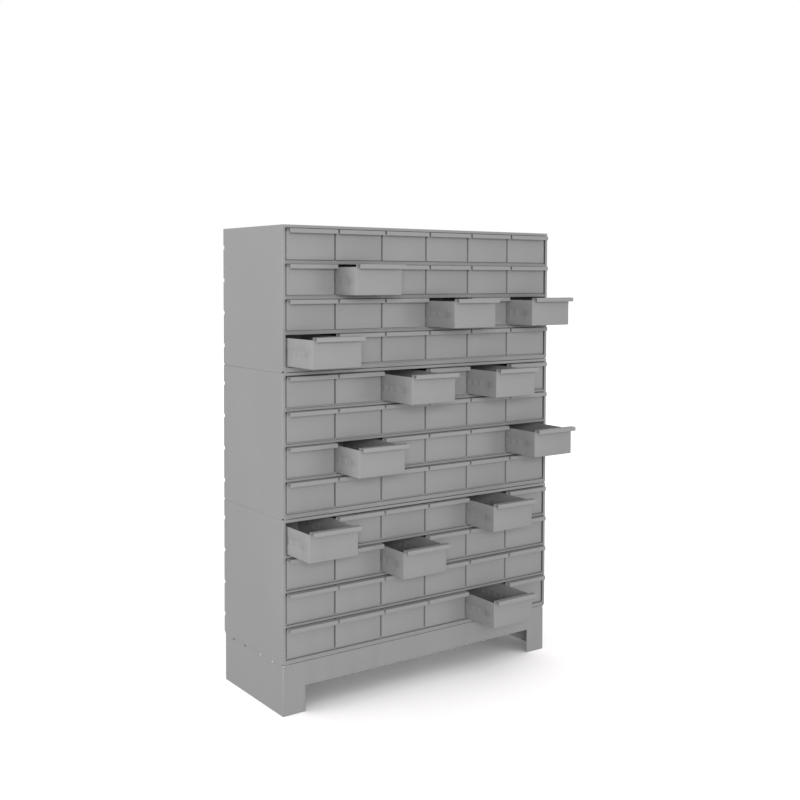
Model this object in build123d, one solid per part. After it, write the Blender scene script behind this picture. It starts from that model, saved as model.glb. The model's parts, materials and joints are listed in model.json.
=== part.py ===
from build123d import *
from math import hypot
import os

# A free-standing bin cabinet: three equal sheet steel cabinets screwed one on another and on a
# low base, with small drawers in twelve rows of six. Millimetres. X runs to the right, Y from the front
# to the back, Z up from the floor. The origin is under the middle of the whole object as it stands
# here, with some drawers pulled out. Rows count down from the top, columns from the left.

# --- cabinets ---
cabinet_count = 3
rows_per_cabinet = 4
column_count = 6
cabinet_width = 866.8
cabinet_depth = 311.2
cabinet_height = 357.2
row_pitch = 85.7
column_edge_gap = 10.1
first_seat_height = 15.6
shell_sheet = 1.0
shell_bend_radius = 2.0
jamb_width = 8.4
roof_lip_height = 7.0
bottom_flange_width = 20.0
rear_flange_width = 16.0
fold_slot_height = 9.6
fold_slot_depth = 4.8
fold_slot_rise = 35.6
corner_relief = 4.0
cutter_overrun = 4.0
back_panel_sheet = 0.9
back_panel_edge_gap = 6.0

# --- shelves and guides ---
shelf_lip_drop = 9.6
shelf_lip_slant = 1.6
shelf_step_height = 3.7
shelf_step_depth = 8.0
shelf_side_drop = 9.0
shelf_stop_height = 12.0
guide_thickness = 3.0
guide_height = 12.0
guide_setback = 12.0
guide_end_gap = 2.0

# --- drawers ---
drawer_side_gap = 4.6
drawer_length = 285.8
drawer_side_height = 68.7
drawer_front_height = 75.3
drawer_shoulder_height = 79.0
drawer_shoulder_length = 60.0
drawer_sheet = 0.8
pull_projection = 17.5
pull_height = 10.5
swage_depth = 1.2
swage_height = 19.0
swage_rise = 24.0
swage_front_gap = 36.0

# --- base ---
base_height = 126.0
base_inset = 2.5
base_sheet = 1.5
base_bend_radius = 3.0
leg_width = 63.0
toe_space_height = 66.0
base_top_flange = 22.0
skirt_end_flange = 15.0
base_hole_flats = 6.6
base_hole_drop = 5.0
base_relief_drop = 6.0
base_hole_setbacks = (58.0, 120.0, 200.0, 262.0)

# --- stacking screws ---
screw_diameter = 5.0
screw_length = 10.0
screw_head_flats = 8.0
screw_head_height = 3.5
screw_hole_clearance = 0.5
screw_side_gap = 11.0
screw_setback = 150.0

# --- clearances ---
slide_clearance = 0.3
face_setback = 1.5
stop_clearance = 0.5
seam_clearance = 0.3

# --- how far each open drawer stands out, by (row, column) ---
open_drawers = {
    (2, 2): 90.0,
    (3, 4): 118.0,
    (3, 6): 101.0,
    (4, 1): 121.0,
    (5, 3): 127.0,
    (5, 5): 118.0,
    (7, 2): 105.0,
    (7, 6): 115.0,
    (9, 1): 107.0,
    (9, 5): 111.0,
    (10, 3): 95.0,
    (12, 5): 115.0,
}

# --- closed drawers that share a node with the drawer on their right, by (row, column) ---
paired_drawers = (
    (1, 1), (1, 3), (1, 5),
    (2, 3), (2, 5),
    (4, 3), (4, 5),
    (5, 1),
    (6, 1), (6, 3), (6, 5),
    (7, 3),
    (8, 1), (8, 3), (8, 5),
    (9, 3),
    (10, 1), (10, 5),
    (11, 1), (11, 3), (11, 5),
    (12, 1),
)

# --- sizes worked out from those above ---
row_count = cabinet_count * rows_per_cabinet
column_pitch = (cabinet_width - 2 * column_edge_gap) / column_count
drawer_width = column_pitch - drawer_side_gap
total_height = base_height + cabinet_count * cabinet_height
half_width = cabinet_width / 2
opening_half = half_width - jamb_width
front_reach = max(open_drawers.values()) + pull_projection - face_setback
front_y = (front_reach - cabinet_depth) / 2
rear_y = front_y + cabinet_depth
stop_y = front_y + face_setback + drawer_length + stop_clearance
base_width = cabinet_width - 2 * base_inset
base_front_y = front_y + base_inset
base_rear_y = rear_y - base_inset
screw_x = half_width - screw_side_gap
screw_y = front_y + screw_setback
shelf_lip_reach = shelf_lip_slant + 1.1 * shell_sheet
drawer_travel = face_setback + drawer_length - drawer_shoulder_length - shelf_lip_reach - stop_clearance


def box_between(low, high):
    """A block from its lowest corner to its highest."""
    size = [b - a for a, b in zip(low, high)]
    middle = [(a + b) / 2 for a, b in zip(low, high)]
    return Pos(*middle) * Box(*size)


def mitre(a, b):
    """How far the far corner of a bend lies from the near one, for two unit normals and unit thickness."""
    stretch = 1 + a[0] * b[0] + a[1] * b[1]
    return ((a[0] + b[0]) / stretch, (a[1] + b[1]) / stretch)


def bent_strip(points, thickness):
    """Outline of a sheet bent at each inner point, its thickness on the right of the path."""
    steps = [(b[0] - a[0], b[1] - a[1]) for a, b in zip(points, points[1:])]
    lengths = [hypot(x, y) for x, y in steps]
    normals = [(y / length, -x / length) for (x, y), length in zip(steps, lengths)]
    corners = [mitre(a, b) for a, b in zip(normals, normals[1:])]
    shifts = [normals[0]] + corners + [normals[-1]]
    far_side = [(p[0] + thickness * s[0], p[1] + thickness * s[1]) for p, s in zip(points, shifts)]
    return make_face(Polyline(*points, *reversed(far_side), close=True))


def strip_along_x(points, thickness, half_length):
    """A bent sheet whose profile lies in Y and Z, run from -half_length to +half_length."""
    profile = Plane.YZ * bent_strip(points, thickness)
    return extrude(profile, half_length, both=True)


def screw_holes(z):
    """Square punched holes for the two screws, one at each side, that join what meets at z."""
    width = screw_diameter + screw_hole_clearance
    return [Pos(x, screw_y, z) * Box(width, width, 4 * base_sheet) for x in (-screw_x, screw_x)]


def cabinet_floor_z(cabinet):
    """Underside of a cabinet, counted from 0 at the bottom."""
    return base_height + cabinet * cabinet_height


def seat_z(row):
    """Height of the surface that a row of drawers slides on."""
    below = row_count - row
    cabinet, tier = divmod(below, rows_per_cabinet)
    return cabinet_floor_z(cabinet) + first_seat_height + tier * row_pitch


def column_x(column):
    """Middle of a column of drawers."""
    return (column - (column_count + 1) / 2) * column_pitch


def cabinet_shell(cabinet):
    """Roof and both sides folded from one sheet, with narrow flanges turned in all round."""
    low_z = cabinet_floor_z(cabinet)
    high_z = low_z + cabinet_height
    t = shell_sheet
    outer = box_between((-half_width, front_y, low_z), (half_width, rear_y, high_z))
    inner = box_between(
        (-half_width + t, front_y + t, low_z + t), (half_width - t, rear_y - t, high_z - t)
    )
    front_bends = outer.edges().filter_by(Axis.Z).sort_by(Axis.Y)[:2]
    roof_bends = outer.edges().filter_by(Axis.Y).sort_by(Axis.Z)[-2:]
    shell = fillet(front_bends + roof_bends, shell_bend_radius) - inner
    rear_half = half_width - rear_flange_width
    bottom_half = half_width - bottom_flange_width
    near_y = front_y - cutter_overrun
    far_y = rear_y + cutter_overrun
    under_z = low_z - cutter_overrun
    front_opening = box_between(
        (-opening_half, near_y, under_z), (opening_half, front_y + cutter_overrun, high_z - roof_lip_height)
    )
    rear_opening = box_between(
        (-rear_half, rear_y - cutter_overrun, under_z), (rear_half, far_y, high_z - rear_flange_width)
    )
    bottom_opening = box_between(
        (-bottom_half, near_y, under_z), (bottom_half, far_y, low_z + cutter_overrun)
    )
    shell -= front_opening + rear_opening + bottom_opening
    for side in (-half_width, half_width):
        for y in (front_y, rear_y):
            shell -= Pos(side, y, low_z) * Box(2 * corner_relief, 2 * corner_relief, 2 * corner_relief)
        for tier in range(rows_per_cabinet):
            z = low_z + first_seat_height + tier * row_pitch + fold_slot_rise
            shell -= Pos(side, rear_y, z) * Box(2 * fold_slot_depth, 2 * fold_slot_depth, fold_slot_height)
    shell -= screw_holes(low_z)
    if cabinet < cabinet_count - 1:
        shell -= screw_holes(high_z)
    return shell


def back_panel(cabinet):
    """Flat sheet behind the drawers, spot-welded to the shell's rear flanges."""
    low_z = cabinet_floor_z(cabinet)
    half = half_width - back_panel_edge_gap
    y = rear_y - shell_sheet
    return box_between(
        (-half, y - back_panel_sheet, low_z + back_panel_edge_gap),
        (half, y, low_z + cabinet_height - back_panel_edge_gap),
    )


def shelf_pan(z, front_drop):
    """A tier's floor: front edge stepped and turned down, weld flanges at the sides, rear edge up as a stop."""
    t = shell_sheet
    half = half_width - t
    step_y = front_y + shelf_step_depth
    low_z = z - shelf_step_height
    front_path = [(front_y + shelf_lip_slant, z - front_drop), (front_y, low_z), (step_y, low_z)]
    rear_path = [(step_y, z), (stop_y, z), (stop_y, z + shelf_stop_height)]
    pan = strip_along_x(front_path + rear_path, t, half)
    wing_front = front_y + shelf_lip_slant + shell_bend_radius + seam_clearance
    notch_width = half - opening_half + seam_clearance
    for side in (-1, 1):
        notch = Box(2 * notch_width, 2 * (wing_front - front_y), 4 * front_drop)
        pan -= Pos(side * half, front_y, z) * notch
        weld_flange = box_between(
            (min(side * half, side * (half - t)), wing_front, z - shelf_side_drop),
            (max(side * half, side * (half - t)), stop_y, z),
        )
        pan += weld_flange
    return pan


def drawer_guide(x, z):
    """Upright strip, folded flat on itself, between two drawers or beside the outer ones."""
    half = guide_thickness / 2
    low = (x - half, front_y + guide_setback, z)
    high = (x + half, stop_y - guide_end_gap, z + guide_height)
    return box_between(low, high)


def drawer():
    """One folded drawer at the origin: front face on Y 0, underside on Z 0, centred on X."""
    t = drawer_sheet
    half = drawer_width / 2
    tray = box_between((-half, 0, 0), (half, drawer_length, drawer_shoulder_height))
    tray -= box_between((-half + t, t, t), (half - t, drawer_length - t, drawer_shoulder_height + t))
    tray -= box_between(
        (-half - t, -t, drawer_side_height),
        (half + t, drawer_length - drawer_shoulder_length, drawer_shoulder_height + t),
    )
    under_lip = drawer_front_height - t
    lip_y = t - pull_projection
    path = [(0, 0), (0, under_lip), (lip_y, under_lip), (lip_y, drawer_front_height - pull_height)]
    body = tray + strip_along_x(path, t, half)
    for side in (-1, 1):
        body = press_swage(body, side)
    return body


def press_swage(body, side):
    """A long shallow groove pressed into a drawer side, up to the back wall, raised on the inside."""
    t = drawer_sheet
    half = drawer_width / 2
    rear = drawer_length - t
    top = swage_rise + swage_height
    deep = half - swage_depth
    bulge = box_between(
        (min(side * half, side * (deep - t)), swage_front_gap, swage_rise),
        (max(side * half, side * (deep - t)), rear, top),
    )
    groove = box_between(
        (min(side * (half + t), side * deep), swage_front_gap + t, swage_rise + t),
        (max(side * (half + t), side * deep), rear - t, top - t),
    )
    return body + bulge - groove


def placed_drawer(template, row, column):
    """A drawer at its row and column, pulled out as it stands."""
    y = front_y + face_setback - open_drawers.get((row, column), 0.0)
    return Pos(column_x(column), y, seat_z(row) + slide_clearance) * template


def base_wrap():
    """Front apron with its two legs and both sides, folded from one sheet."""
    t = base_sheet
    half = base_width / 2
    outer = box_between((-half, base_front_y, 0), (half, base_rear_y + t, base_height))
    corner_edges = outer.edges().filter_by(Axis.Z).sort_by(Axis.Y)[:2]
    outer = fillet(corner_edges, base_bend_radius)
    inner = box_between((-half + t, base_front_y + t, -t), (half - t, base_rear_y + t, base_height - t))
    wrap = outer - fillet(inner.edges().filter_by(Axis.Z).sort_by(Axis.Y)[:2], base_bend_radius - t)
    reach = base_rear_y + 2 * t
    top_half = half - base_top_flange
    cut_half = half - leg_width
    wrap -= box_between((-half - t, base_rear_y, -t), (half + t, reach, base_height + t))
    wrap -= box_between(
        (-top_half, base_front_y + base_top_flange, base_height - 2 * t), (top_half, reach, base_height + t)
    )
    wrap -= box_between((-cut_half, base_front_y - t, -t), (cut_half, base_rear_y, toe_space_height))
    relief = Box(2 * corner_relief, 2 * corner_relief, 2 * base_relief_drop)
    hole = Rot(0, 90, 0) * extrude(RegularPolygon(base_hole_flats / 2, 8, major_radius=False), 2 * t, both=True)
    for side in (-half, half):
        wrap -= Pos(side, base_front_y, base_height) * relief
        for setback in base_hole_setbacks:
            wrap -= Pos(side, front_y + setback, base_height - base_hole_drop) * hole
    return wrap - screw_holes(base_height)


def base_rear_skirt():
    """Rear apron and legs, with end flanges welded inside the base sides and a top flange."""
    t = base_sheet
    half = base_width / 2 - t
    start = base_rear_y - skirt_end_flange
    path = [(-half, start), (-half, base_rear_y), (half, base_rear_y), (half, start)]
    skirt = extrude(bent_strip(path, t), base_height - t - seam_clearance)
    cut_half = base_width / 2 - leg_width
    skirt -= box_between((-cut_half, start, -t), (cut_half, base_rear_y + t, toe_space_height))
    shelf_half = base_width / 2 - base_top_flange - seam_clearance
    skirt += box_between(
        (-shelf_half, base_rear_y - base_top_flange, base_height - t), (shelf_half, base_rear_y, base_height)
    )
    skirt += box_between(
        (-shelf_half, base_rear_y - t, base_height - 2 * t), (shelf_half, base_rear_y, base_height - t)
    )
    return skirt


def hexagon(flats, height):
    """A hexagonal block standing on Z 0, with two flats facing along X."""
    return extrude(RegularPolygon(flats / 2, 6, major_radius=False, rotation=30), height)


def stacking_screw(x, y, z, lower_sheet):
    """Screw driven up through two sheets that meet at z, its head against the lower one."""
    seat = z - lower_sheet
    head = Pos(x, y, seat - screw_head_height) * hexagon(screw_head_flats, screw_head_height)
    shank = Pos(x, y, seat + screw_length / 2) * Cylinder(screw_diameter / 2, screw_length)
    return head + shank


def save(name, pieces):
    """Writes one node, which may hold several separate solids."""
    solids = [solid for piece in pieces for solid in piece.solids()]
    shape = solids[0] if len(solids) == 1 else Compound(children=solids)
    shape.label = name
    export_step(shape, f"parts/{name}.step")


def save_structure():
    """The base, the three cabinets and what joins them."""
    cabinets = range(cabinet_count)
    rows = range(1, row_count + 1)
    save("base_wrap", [base_wrap()])
    save("base_rear_skirt", [base_rear_skirt()])
    for cabinet, name in zip(cabinets, ("lower", "middle", "upper")):
        save(f"{name}_cabinet_shell", [cabinet_shell(cabinet)])
    save("back_panels", [back_panel(cabinet) for cabinet in cabinets])
    floor_rows = [row for row in rows if row % rows_per_cabinet == 0]
    shelf_rows = [row for row in rows if row % rows_per_cabinet != 0]
    floor_drop = first_seat_height - shell_sheet - seam_clearance
    save("floor_pans", [shelf_pan(seat_z(row), floor_drop) for row in floor_rows])
    save("drawer_shelves", [shelf_pan(seat_z(row), shelf_lip_drop) for row in shelf_rows])
    guide_xs = [(column - column_count / 2) * column_pitch for column in range(column_count + 1)]
    save("drawer_guides", [drawer_guide(x, seat_z(row)) for row in rows for x in guide_xs])
    screws = []
    for cabinet in cabinets:
        lower_sheet = base_sheet if cabinet == 0 else shell_sheet
        z = cabinet_floor_z(cabinet)
        screws += [stacking_screw(x, screw_y, z, lower_sheet) for x in (-screw_x, screw_x)]
    save("stacking_screws", screws)


def save_drawers():
    """Every drawer, singly or as a pair side by side."""
    template = drawer()
    on_the_right = [(row, column + 1) for row, column in paired_drawers]
    for row in range(1, row_count + 1):
        for column in range(1, column_count + 1):
            if (row, column) in on_the_right:
                continue
            name = f"drawer_r{row:02d}_c{column}"
            pieces = [placed_drawer(template, row, column)]
            if (row, column) in paired_drawers:
                name = f"drawers_r{row:02d}_c{column}_c{column + 1}"
                pieces.append(placed_drawer(template, row, column + 1))
            save(name, pieces)


os.makedirs("parts", exist_ok=True)
save_structure()
save_drawers()
print("total height", total_height, "travel", drawer_travel)
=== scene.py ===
# %% [markdown]
# # A steel bin cabinet with small drawers
#
# The cabinet is folded from thin sheet steel and painted one grey all over. There is no colour
# and no pattern to look at, so all of its character is in how the sheet turns a corner, how the
# pull lips throw their shadows, and how the paint takes the light. The construction comes ready
# made, as a frame of exact solids. This lesson builds the drawers again as folded sheets, softens
# the edges of the rest, and sets up paint, light and camera.

# %% Load the frame
import json
import math

import bpy
import numpy as np
from mathutils import Matrix, Vector


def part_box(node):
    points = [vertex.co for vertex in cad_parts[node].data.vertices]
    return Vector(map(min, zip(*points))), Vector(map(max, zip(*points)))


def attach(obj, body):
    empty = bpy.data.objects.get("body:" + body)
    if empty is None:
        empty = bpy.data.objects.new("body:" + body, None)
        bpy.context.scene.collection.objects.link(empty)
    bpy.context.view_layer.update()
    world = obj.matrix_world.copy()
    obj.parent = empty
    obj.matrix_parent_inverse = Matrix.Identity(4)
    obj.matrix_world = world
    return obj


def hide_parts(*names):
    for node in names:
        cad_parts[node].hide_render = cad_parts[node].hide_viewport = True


MM = 0.001
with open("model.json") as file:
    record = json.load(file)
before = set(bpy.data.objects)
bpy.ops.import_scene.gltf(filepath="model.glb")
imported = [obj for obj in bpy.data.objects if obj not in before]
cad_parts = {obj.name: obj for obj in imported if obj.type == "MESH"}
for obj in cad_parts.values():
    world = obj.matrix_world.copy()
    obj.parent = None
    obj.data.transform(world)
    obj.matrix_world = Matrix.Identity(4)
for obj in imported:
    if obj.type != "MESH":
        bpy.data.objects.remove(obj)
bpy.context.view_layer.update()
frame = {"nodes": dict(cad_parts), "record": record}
nodes = frame["nodes"]

# %% [markdown]
# ## The camera
#
# The photograph is taken from the cabinet's front left, a little below its roof, with a normal
# lens of about 48 mm. Upright edges stay nearly parallel, because the camera is held almost level
# and the film is shifted down. The place and the angles come from matching the long edges of the
# cabinet.

# %% Camera
camera_place = Vector((-1.7158, -2.3344, 1.0699))
camera_yaw = math.radians(35.128)
camera_pitch = math.radians(2.234)
camera_roll = math.radians(0.156)
focal_pixels = 1076.4
image_pixels = 800
middle_x_pixel = 385.0
middle_y_pixel = 320.0

camera_data = bpy.data.cameras.new("photo_camera")
camera_data.sensor_width = 36.0
camera_data.lens = focal_pixels / image_pixels * camera_data.sensor_width
camera_data.shift_x = 0.5 - middle_x_pixel / image_pixels
camera_data.shift_y = middle_y_pixel / image_pixels - 0.5
camera_data.clip_end = 100.0
camera = bpy.data.objects.new("photo_camera", camera_data)
bpy.context.scene.collection.objects.link(camera)
turned_left = Matrix.Rotation(-camera_yaw, 4, "Z")
tipped_down = Matrix.Rotation(math.pi / 2 - camera_pitch, 4, "X")
rolled = Matrix.Rotation(camera_roll, 4, "Z")
camera.matrix_world = Matrix.Translation(camera_place) @ turned_left @ tipped_down @ rolled
bpy.context.scene.camera = camera
print("lens", round(camera_data.lens, 2), "mm")

# %% [markdown]
# ## Sheets with a thickness
#
# Every piece made here is sheet steel. A sheet has two skins that run side by side, and a narrow
# edge that joins them. So one helper takes the two skins as grids of points and closes the border
# between them. It works on whole arrays: the faces of a grid are made from a block of index
# numbers. Sizes of pieces are in millimetres, and mesh_from turns them into metres.


# %% Helper: a mesh from arrays
def grid_faces(rows, columns, first=0, flip=False, wrap=False):
    """Four-sided faces of points numbered row by row: corner, next column, both, next row."""
    count = columns if wrap else columns - 1
    row, column = np.meshgrid(np.arange(rows - 1), np.arange(count), indexing="ij")
    after = (column + 1) % columns
    here, below = row * columns, (row + 1) * columns
    faces = np.stack([here + column, here + after, below + after, below + column], axis=-1)
    faces = faces.reshape(-1, 4) + first
    return faces[:, ::-1] if flip else faces


def closed_sheet(outer, inner):
    """Two grids of the same shape, joined all round their border into one closed skin."""
    rows, columns = outer.shape[:2]
    total = rows * columns
    number = np.arange(total).reshape(rows, columns)
    border = np.concatenate([number[0, :-1], number[:-1, -1], number[-1, :0:-1], number[:0:-1, 0]])
    following = np.roll(border, -1)
    edge = np.stack([following, border, border + total, following + total], axis=-1)
    points = np.concatenate([outer.reshape(-1, 3), inner.reshape(-1, 3)])
    faces = grid_faces(rows, columns).tolist()
    faces += grid_faces(rows, columns, total, flip=True).tolist()
    return points, faces + edge.tolist()


def joined(parts):
    """Several (points, faces) pairs as one, with the face numbers moved on."""
    points, faces, first = [], [], 0
    for part_points, part_faces in parts:
        points.append(part_points)
        faces += [[corner + first for corner in face] for face in part_faces]
        first += len(part_points)
    return np.concatenate(points), faces


def mesh_from(name, points, faces, smooth_angle=40):
    """A mesh with smooth shading that breaks where two faces meet at more than the angle."""
    mesh = bpy.data.meshes.new(name)
    mesh.from_pydata((points * MM).tolist(), [], faces)
    mesh.update()
    mesh.shade_smooth()
    mesh.set_sharp_from_angle(angle=math.radians(smooth_angle))
    return mesh


# %% [markdown]
# ## The floor
#
# The picture is a cut-out on white with one soft shadow under the cabinet. A floor of white paint
# would be a pale grey in the picture, and a brighter lamp would burn out the cabinet. So the
# camera sees the floor brighter than it is, with a faint glow added, and it melts into the white
# of the background while the shadow stays. The cabinet gets only the light that the white paint
# really throws back.

# %% Floor
white = (1, 1, 1, 1)
floor_half = 30.0
floor_paint = (0.8, 0.8, 0.8, 1)
floor_seen_paint = (2.18, 2.14, 2.16, 1)
floor_glow = 0.06

floor_points = np.array([[-1, -1, 0], [1, -1, 0], [1, 1, 0], [-1, 1, 0]]) * floor_half / MM
floor_mesh = mesh_from("floor", floor_points, [[0, 1, 2, 3]])
floor = bpy.data.objects.new("floor", floor_mesh)
bpy.context.scene.collection.objects.link(floor)

floor_material = bpy.data.materials.new("white_floor")
floor_material.use_nodes = True
tree = floor_material.node_tree
tree.nodes.clear()
diffuse = tree.nodes.new("ShaderNodeBsdfDiffuse")
diffuse.inputs["Color"].default_value = floor_paint
seen_paint = tree.nodes.new("ShaderNodeBsdfDiffuse")
seen_paint.inputs["Color"].default_value = floor_seen_paint
glow = tree.nodes.new("ShaderNodeEmission")
glow.inputs["Color"].default_value = white
glow.inputs["Strength"].default_value = floor_glow
path = tree.nodes.new("ShaderNodeLightPath")
both = tree.nodes.new("ShaderNodeAddShader")
pick = tree.nodes.new("ShaderNodeMixShader")
output = tree.nodes.new("ShaderNodeOutputMaterial")
tree.links.new(seen_paint.outputs[0], both.inputs[0])
tree.links.new(glow.outputs[0], both.inputs[1])
tree.links.new(path.outputs["Is Camera Ray"], pick.inputs[0])
tree.links.new(diffuse.outputs[0], pick.inputs[1])
tree.links.new(both.outputs[0], pick.inputs[2])
tree.links.new(pick.outputs[0], output.inputs["Surface"])
floor_mesh.materials.append(floor_material)
print("floor", 2 * floor_half, "m square")

# %% [markdown]
# ## The sky and the white background
#
# The world does two jobs. As a sky it is an even white light from all sides, at about half
# strength. As a backdrop it is plain white wherever the camera looks past the cabinet, also in a
# mirror or through glass. Light Path tells the two apart by the kind of ray that asks.

# %% Sky and backdrop
sky_strength = 0.53
backdrop_strength = 1.0

world = bpy.data.worlds.new("white_studio")
bpy.context.scene.world = world
world.use_nodes = True
tree = world.node_tree
tree.nodes.clear()
sky = tree.nodes.new("ShaderNodeBackground")
sky.inputs["Color"].default_value = white
sky.inputs["Strength"].default_value = sky_strength
backdrop = tree.nodes.new("ShaderNodeBackground")
backdrop.inputs["Color"].default_value = white
backdrop.inputs["Strength"].default_value = backdrop_strength
path = tree.nodes.new("ShaderNodeLightPath")
seen = path.outputs["Is Camera Ray"]
for kind in ("Is Transmission Ray", "Is Glossy Ray"):
    either = tree.nodes.new("ShaderNodeMath")
    either.operation = "MAXIMUM"
    tree.links.new(seen, either.inputs[0])
    tree.links.new(path.outputs[kind], either.inputs[1])
    seen = either.outputs[0]
pick = tree.nodes.new("ShaderNodeMixShader")
output = tree.nodes.new("ShaderNodeOutputWorld")
tree.links.new(seen, pick.inputs[0])
tree.links.new(sky.outputs[0], pick.inputs[1])
tree.links.new(backdrop.outputs[0], pick.inputs[2])
tree.links.new(pick.outputs[0], output.inputs["Surface"])
print("sky", sky_strength, "backdrop", backdrop_strength)

# %% [markdown]
# ## The lamps
#
# Four soft lamps shape the sheet metal. Two stand behind the camera and are screened from the
# floor, which keeps the shadow under the apron deep. The high one of them is tipped down, so that
# the lower rows get their share, and the other stands at the camera's own height and looks into
# the open drawers. The third stands far out on the left and behind the cabinet's back: it lights
# the cabinet's side and the drawers at its left edge, while the cabinet shades the sides of the
# other open drawers from it. A weak fourth one, low on the right, fills the shade under the pull
# lips.


# %% Lamps
def soft_lamp(name, place, aim, width, height, power):
    """A rectangular lamp that looks from its place towards a point, in metres and watts."""
    data = bpy.data.lights.new(name, "AREA")
    data.shape = "RECTANGLE"
    data.size = width
    data.size_y = height
    data.energy = power
    lamp = bpy.data.objects.new(name, data)
    place = Vector(place)
    turn = (Vector(aim) - place).to_track_quat("-Z", "Y").to_matrix().to_4x4()
    lamp.matrix_world = Matrix.Translation(place) @ turn
    bpy.context.scene.collection.objects.link(lamp)
    return lamp


def kept_off(lamp, stage_piece):
    """Screens a lamp from one piece of the stage, as a flag on a stand would."""
    screened = bpy.data.collections.new("screened_from_" + lamp.name)
    screened.objects.link(stage_piece)
    screened.collection_objects[0].light_linking.link_state = "EXCLUDE"
    lamp.light_linking.receiver_collection = screened


middle = (0, 0, 0.6)
front_softbox = soft_lamp(
    "front_softbox", (-3.4, -5.6, 2.2), aim=(-2.4, -3.9, -0.6), width=2.4, height=1.6, power=218
)
eye_softbox = soft_lamp("eye_softbox", (-3.7, -5.1, 1.0), middle, width=1.6, height=1.0, power=58)
kept_off(front_softbox, floor)
kept_off(eye_softbox, floor)
soft_lamp("side_softbox", (-6.0, 1.7, 0.3), middle, width=2.0, height=1.6, power=155)
soft_lamp("low_softbox", (3.2, -5.5, 0.5), middle, width=2.5, height=0.9, power=46)

# %% [markdown]
# ## Grey baked enamel
#
# The paint is a satin grey enamel, sprayed on and baked. Close up it isn't flat: it has the fine
# pebbling of sprayed paint, it is a touch uneven in tone from coat to coat, and hands and bins
# have polished it in soft vertical streaks. The pattern reads Object coordinates, so it runs on
# over the whole cabinet and stays with each piece when a drawer moves.


# %% Paint
enamel_tone = 0.31
streak_share = 0.35
streak_stretch = (1, 1, 0.06)
pebble_strength = 0.12
pebble_height = 0.15
specular_level = 0.35
usual_noise = (0.3, 0.7)


def noise_layer(tree, coordinates, scale, detail, stretch=(1, 1, 1)):
    """A noise pattern over the piece's own coordinates, stretched along an axis where wanted."""
    mapping = tree.nodes.new("ShaderNodeMapping")
    mapping.inputs["Scale"].default_value = stretch
    noise = tree.nodes.new("ShaderNodeTexNoise")
    noise.inputs["Scale"].default_value = scale
    noise.inputs["Detail"].default_value = detail
    tree.links.new(coordinates.outputs["Object"], mapping.inputs["Vector"])
    tree.links.new(mapping.outputs["Vector"], noise.inputs["Vector"])
    return noise.outputs["Fac"]


def between(tree, factor, low, high):
    """Maps a pattern to a range of values, from the middle range in which noise mostly lies."""
    ramp = tree.nodes.new("ShaderNodeMapRange")
    ramp.inputs["From Min"].default_value = usual_noise[0]
    ramp.inputs["From Max"].default_value = usual_noise[1]
    ramp.inputs["To Min"].default_value = low
    ramp.inputs["To Max"].default_value = high
    tree.links.new(factor, ramp.inputs["Value"])
    return ramp.outputs["Result"]


def grey_enamel(name, tone, unevenness=0.04, gloss_low=0.42, gloss_high=0.56):
    """Satin enamel: mottled tone, streaks down the sheet, and sprayed pebbling as a fine bump."""
    material = bpy.data.materials.new(name)
    material.use_nodes = True
    tree = material.node_tree
    shader = tree.nodes["Principled BSDF"]
    place = tree.nodes.new("ShaderNodeTexCoord")
    clouds = noise_layer(tree, place, scale=3.0, detail=3.0)
    streaks = noise_layer(tree, place, scale=30.0, detail=2.0, stretch=streak_stretch)
    pebbles = noise_layer(tree, place, scale=900.0, detail=1.5)
    tone_mix = tree.nodes.new("ShaderNodeMix")
    tone_mix.data_type = "FLOAT"
    tone_mix.inputs["Factor"].default_value = streak_share
    tree.links.new(clouds, tone_mix.inputs["A"])
    tree.links.new(streaks, tone_mix.inputs["B"])
    tone_low, tone_high = tone * (1 - unevenness), tone * (1 + unevenness)
    tone_value = between(tree, tone_mix.outputs["Result"], tone_low, tone_high)
    colour = tree.nodes.new("ShaderNodeCombineColor")
    for channel in ("Red", "Green", "Blue"):
        tree.links.new(tone_value, colour.inputs[channel])
    tree.links.new(colour.outputs["Color"], shader.inputs["Base Color"])
    tree.links.new(between(tree, streaks, gloss_low, gloss_high), shader.inputs["Roughness"])
    bump = tree.nodes.new("ShaderNodeBump")
    bump.inputs["Strength"].default_value = pebble_strength
    bump.inputs["Distance"].default_value = pebble_height * MM
    tree.links.new(pebbles, bump.inputs["Height"])
    tree.links.new(bump.outputs["Normal"], shader.inputs["Normal"])
    shader.inputs["Specular IOR Level"].default_value = specular_level
    return material


cabinet_enamel = grey_enamel("cabinet_grey_enamel", enamel_tone)
drawer_enamel = grey_enamel("drawer_grey_enamel", enamel_tone)
print("enamel tone", enamel_tone)

# %% [markdown]
# ## Zinc-plated screws
#
# The screws are driven up from below where base and cabinets meet, so only a view from underneath
# finds the lowest two, and the others lie hidden inside. Zinc plating is a bluish metal with a
# crystal bloom that changes its gloss in small patches.


# %% Zinc plate
zinc_dull = (0.55, 0.57, 0.60, 1)
zinc_bright = (0.74, 0.75, 0.77, 1)
zinc_gloss_low, zinc_gloss_high = 0.22, 0.42


def zinc_plate(name):
    """Bright plated steel whose gloss changes in patches a few millimetres wide."""
    material = bpy.data.materials.new(name)
    material.use_nodes = True
    tree = material.node_tree
    shader = tree.nodes["Principled BSDF"]
    place = tree.nodes.new("ShaderNodeTexCoord")
    bloom = noise_layer(tree, place, scale=450.0, detail=2.0)
    shader.inputs["Metallic"].default_value = 1.0
    tint = tree.nodes.new("ShaderNodeMix")
    tint.data_type = "RGBA"
    tint.inputs["A"].default_value = zinc_dull
    tint.inputs["B"].default_value = zinc_bright
    tree.links.new(bloom, tint.inputs["Factor"])
    tree.links.new(tint.outputs["Result"], shader.inputs["Base Color"])
    roughness = between(tree, bloom, zinc_gloss_low, zinc_gloss_high)
    tree.links.new(roughness, shader.inputs["Roughness"])
    return material


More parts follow.
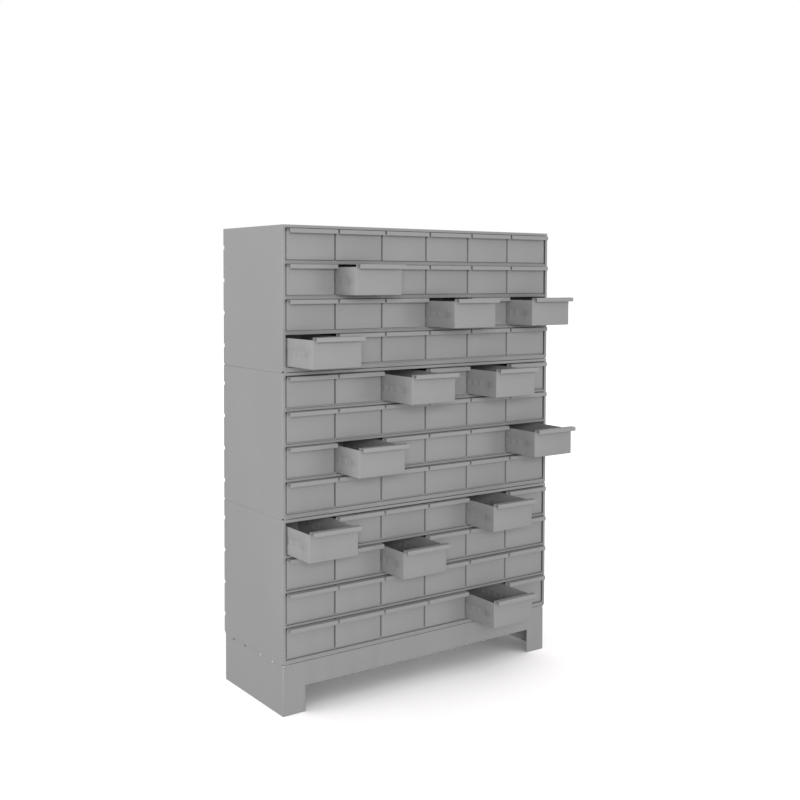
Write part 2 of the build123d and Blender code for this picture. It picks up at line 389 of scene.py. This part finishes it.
screw_zinc = zinc_plate("zinc_plate")
print("zinc roughness", zinc_gloss_low, "to", zinc_gloss_high)

# %% [markdown]
# ## The fixed sheet metal
#
# The shells, shelves, pans, guides and the base keep the frame's exact solids. A real fold or a
# sheared edge is never knife sharp, and the eye knows a painted edge by the thin highlight that
# runs along it. A bevel gives each edge that highlight. The frame's meshes are loose triangles,
# so their corners are welded first, and only edges that really turn are cut.

# %% Edges and paint of the fixed pieces
edge_round = {
    "base_wrap": 0.4,
    "base_rear_skirt": 0.4,
    "lower_cabinet_shell": 0.45,
    "middle_cabinet_shell": 0.45,
    "upper_cabinet_shell": 0.45,
    "back_panels": 0.3,
    "floor_pans": 0.45,
    "drawer_shelves": 0.45,
    "drawer_guides": 0.8,
    "stacking_screws": 0.2,
}
weld_distance = 0.001
bevel_segments = 2
bevel_angle = 35


def painted(piece, material):
    """Gives a piece this one material in place of what it had."""
    piece.data.materials.clear()
    piece.data.materials.append(material)


def soften(piece, radius_mm):
    """Joins loose corners, and rounds each edge that turns by more than bevel_angle degrees."""
    weld = piece.modifiers.new("joined_corners", "WELD")
    weld.merge_threshold = weld_distance * MM
    bevel = piece.modifiers.new("soft_edges", "BEVEL")
    bevel.width = radius_mm * MM
    bevel.segments = bevel_segments
    bevel.limit_method = "ANGLE"
    bevel.angle_limit = math.radians(bevel_angle)


for name, radius in edge_round.items():
    painted(nodes[name], screw_zinc if name == "stacking_screws" else cabinet_enamel)
    soften(nodes[name], radius)
print("fixed pieces", len(edge_round))

# %% [markdown]
# ## The drawer
#
# A drawer is the piece that repeats, so it earns the most care. The real one is folded up from a
# single blank: four walls with rounded corners, a floor, and a pull lip that turns forward and
# down over the whole width. A shallow band is pressed along each side, and inside the band stand
# short upright ribs, 26 mm apart, that stiffen the wall and guide a divider. The rear ends of the
# sides rise in shoulders that stop the drawer from falling out.
#
# The tray could be a box with a boolean and bevels. A surface is better here, because bends, band
# and ribs are then one smooth skin: each wall point is a place on the rounded outline, moved
# inwards by the depth of the pressing at that place. A rib's crown, flank and foot are shares of
# its width, counted from its middle.

# %% Sizes of the drawer
drawer_width = 136.5
drawer_length = 285.8
side_height = 68.7
front_height = 75.3
shoulder_height = 79.0
shoulder_length = 60.0
shoulder_step_half = 0.4
shoulder_ease_half = 0.41
plain_rim = 6.0
sheet = 0.8
bend = 1.6
pull_projection = 17.5
pull_height = 10.5
pull_end_gap = 0.4
pull_overlap = 0.2
pull_bends = [0.6, 0.9]
band_low, band_high = 24.0, 43.0
band_front_gap = 36.0
band_rear_gap = 4.0
band_depth = 0.9
band_slope = 1.8
first_rib = 40.0
last_rib_gap = 14.0
rib_pitch = 26.2
rib_width = 5.0
rib_depth = 0.5
rib_ends = 1.5
rib_crown, rib_flank, rib_foot = 0.15, 0.32, 0.5
bend_steps = 4
same_place = 1e-6
print("drawer", drawer_width, "x", drawer_length, "x", shoulder_height, "mm")

# %% [markdown]
# A smooth step, 3t^2 - 2t^3, makes every soft edge of the pressing. The band is one such step up
# and one down, both along the wall and across it, and a rib is a narrow step inside the band.


# %% Pressing
def ease(value, low, high):
    """0 below low, 1 above high, and a smooth S between them: 3t^2 - 2t^3."""
    t = np.clip((value - low) / (high - low), 0, 1)
    return t * t * (3 - 2 * t)


def pressed(y, z):
    """Depth of the pressing in a side wall: the band's smooth step, less the ribs in it."""
    rear = drawer_length - band_rear_gap
    along = ease(y, band_front_gap, band_front_gap + band_slope)
    along = along * (1 - ease(y, rear - band_slope, rear))
    low_foot, high_foot = band_low + band_slope, band_high - band_slope
    across = ease(z, band_low, low_foot) * (1 - ease(z, high_foot, band_high))
    phase = (y - first_rib) / rib_pitch
    off_centre = np.abs(phase - np.round(phase)) * rib_pitch
    rib = 1 - ease(off_centre, rib_crown * rib_width, rib_foot * rib_width)
    rib = rib * ease(z, low_foot, low_foot + rib_ends)
    rib = rib * (1 - ease(z, high_foot - rib_ends, high_foot))
    rib = rib * (y < drawer_length - last_rib_gap)
    return along * across * (band_depth - rib_depth * rib)


band_middle = (band_low + band_high) / 2
between_ribs = pressed(first_rib + rib_pitch / 2, band_middle)
at_rib = pressed(first_rib, band_middle)
print("band", round(float(between_ribs), 2), "mm deep, at a rib", round(float(at_rib), 2))

# %% [markdown]
# The tray's skin is a ring grid. Its columns follow the plan of the tray, with points only where
# the pressing, a corner or the shoulder needs them, and its rows go down the wall and round the
# lower bend.


# %% Plan of the tray
def side_stations():
    """Places along a side wall: close together at the band's ends, the ribs and the shoulder."""
    ribs = np.arange(first_rib, drawer_length - last_rib_gap, rib_pitch)
    across_rib = np.array([-rib_foot, -rib_flank, -rib_crown, rib_crown, rib_flank, rib_foot])
    rib_places = (ribs[:, None] + rib_width * across_rib).ravel()
    rear = drawer_length - band_rear_gap
    ends = [band_front_gap, band_front_gap + band_slope, rear - band_slope, rear]
    step = drawer_length - shoulder_length
    shoulder = [step - shoulder_step_half, step + shoulder_step_half]
    return np.unique(np.round(np.concatenate([rib_places, ends, shoulder]), 3))


def outline(inset):
    """The tray's plan, round from the front left: corners as quarter arcs, walls straight."""
    half = drawer_width / 2 - inset
    low, high = inset, drawer_length - inset
    radius = bend - inset
    turn = np.linspace(0, math.pi / 2, bend_steps + 1)
    side = side_stations()
    centres = [
        (-half + radius, low + radius, math.pi),
        (half - radius, low + radius, 1.5 * math.pi),
        (half - radius, high - radius, 0),
        (-half + radius, high - radius, 0.5 * math.pi),
    ]
    corners = [
        np.stack([x + radius * np.cos(start + turn), y + radius * np.sin(start + turn)], axis=-1)
        for x, y, start in centres
    ]
    right = np.stack([np.full_like(side, half), side], axis=-1)
    left = np.stack([np.full_like(side, -half), side[::-1]], axis=-1)
    return np.concatenate([corners[0], corners[1], right, corners[2], corners[3], left])


def rim_height(y):
    """Height of the wall's top edge: level, then a step up to the shoulder at the rear."""
    step = drawer_length - shoulder_length
    rise = ease(y, step - shoulder_ease_half, step + shoulder_ease_half)
    return side_height + (shoulder_height - side_height) * rise


print("points round the plan", len(outline(0.0)))

# %% [markdown]
# Two such skins make the tray: the outer one, and the inner one a sheet's thickness inside it.
# Their top edges are joined into the rim, and one large face closes each skin as its floor.


# %% Tray
def tray_skin(inset):
    """One skin of the tray: rows go down the wall, round the bend and onto the floor."""
    plan = outline(inset)
    middle_plan = outline(bend)
    radius = bend - inset
    low_foot, high_foot = band_low + band_slope, band_high - band_slope
    wall = [side_height - plain_rim, band_high, high_foot, high_foot - rib_ends]
    wall += [low_foot + rib_ends, low_foot, band_low, bend]
    rows = [np.column_stack([plan, rim_height(plan[:, 1])])]
    rows += [np.column_stack([plan, np.full(len(plan), z)]) for z in wall]
    turn = np.linspace(0, math.pi / 2, bend_steps + 1)[1:]
    for angle in turn:
        share = 1 - math.cos(angle)
        flat = plan + (middle_plan - plan) * share
        rows.append(np.column_stack([flat, np.full(len(plan), bend - radius * math.sin(angle))]))
    skin = np.stack(rows)
    on_side = np.abs(np.abs(skin[..., 0]) - (drawer_width / 2 - inset)) < same_place
    depth = np.where(on_side, pressed(skin[..., 1], skin[..., 2]), 0)
    skin[..., 0] -= np.sign(skin[..., 0]) * depth
    return skin


def tray():
    """Outer and inner skin, each closed by its floor, and joined along the rim."""
    outer, inner = tray_skin(0.0), tray_skin(sheet)
    rows, columns = outer.shape[:2]
    total = rows * columns
    ring = np.arange(columns)
    following = np.roll(ring, -1)
    rim = np.stack([ring, following, following + total, ring + total], axis=-1)
    floor_ring = (rows - 1) * columns + ring
    faces = grid_faces(rows, columns, flip=True, wrap=True).tolist()
    faces += grid_faces(rows, columns, total, wrap=True).tolist()
    faces += rim.tolist() + [floor_ring[::-1].tolist(), (floor_ring + total).tolist()]
    return np.concatenate([outer.reshape(-1, 3), inner.reshape(-1, 3)]), faces


# %% [markdown]
# The pull lip is a profile carried along the drawer's width: up from the front wall, forward, and
# down again. Each turn is an arc. The second skin is the same path, moved by the sheet's
# thickness.


# %% Pull lip
def rounded_path(points, radii):
    """A path of straight runs joined by arcs, and its normals.

    An arc's centre lies one radius back along the run before and one on along the run after.
    """
    points = np.array(points, float)
    places, normals = [points[0]], []
    direction = np.diff(points, axis=0)
    direction /= np.linalg.norm(direction, axis=1)[:, None]
    normal = np.stack([direction[:, 1], -direction[:, 0]], axis=-1)
    normals.append(normal[0])
    for corner, radius, before, after, n0, n1 in zip(
        points[1:-1], radii, direction[:-1], direction[1:], normal[:-1], normal[1:]
    ):
        side = np.sign(before[0] * after[1] - before[1] * after[0])
        centre = corner - before * radius + after * radius
        share = np.linspace(0, math.pi / 2, bend_steps + 1)[:, None]
        spoke = np.cos(share) * n0 + np.sin(share) * n1
        places += list(centre + side * radius * spoke)
        normals += list(spoke)
    places.append(points[-1])
    normals.append(normal[-1])
    return np.array(places), np.array(normals)


def folded_strip(points, radii, thickness, low_x, high_x):
    """A folded sheet whose profile lies in Y and Z, carried from low_x to high_x."""
    path, normals = rounded_path(points, radii)
    across = np.array([low_x, high_x])

    def skin(profile):
        grid = np.empty((len(profile), 2, 3))
        grid[..., 0] = across
        grid[..., 1:] = profile[:, None, :]
        return grid

    return closed_sheet(skin(path), skin(path + normals * thickness))


def pull_lip():
    """From the front wall's top edge up, forward over the fingers' width and down."""
    half = drawer_width / 2 - pull_end_gap
    foot_z = side_height - pull_overlap
    under_z = front_height - sheet
    lip_y = sheet - pull_projection
    lip_z = front_height - pull_height
    path = [(0, foot_z), (0, under_z), (lip_y, under_z), (lip_y, lip_z)]
    return folded_strip(path, pull_bends, sheet, -half, half)


drawer_points, drawer_faces = joined([tray(), pull_lip()])
print("drawer", len(drawer_points), "points", len(drawer_faces), "faces")

# %% [markdown]
# ## Seventy-two drawers
#
# Each drawer goes where the frame has its solid, and slides with the same body. Where one node of
# the frame holds two closed drawers side by side, the piece that replaces it holds two as well.

# %% Place the drawers
drawer_nodes = [name for name in nodes if name.startswith(("drawer_r", "drawers_r"))]
bodies = frame["record"]["behaviour"]["bodies"]
body_of_node = {node: body for body, members in bodies.items() for node in members}
for name in sorted(drawer_nodes):
    low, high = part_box(name)
    first_x = low.x / MM + drawer_width / 2
    last_x = high.x / MM - drawer_width / 2
    places = [first_x] if name.startswith("drawer_r") else [first_x, last_x]
    front_y = low.y / MM + pull_projection
    copies = [(drawer_points + [x, front_y, low.z / MM], drawer_faces) for x in places]
    mesh = mesh_from(name + "_folded", *joined(copies))
    mesh.materials.append(drawer_enamel)
    piece = bpy.data.objects.new(name + "_folded", mesh)
    bpy.context.scene.collection.objects.link(piece)
    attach(piece, body_of_node[name])
    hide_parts(name)
print("drawer pieces", len(drawer_nodes))

# %% [markdown]
# ## The size
#
# The dressed cabinet has to fill the same box as the exact solids. With the Standard view,
# colours come out as they are written.

# %% The view
bpy.context.scene.view_settings.view_transform = "Standard"
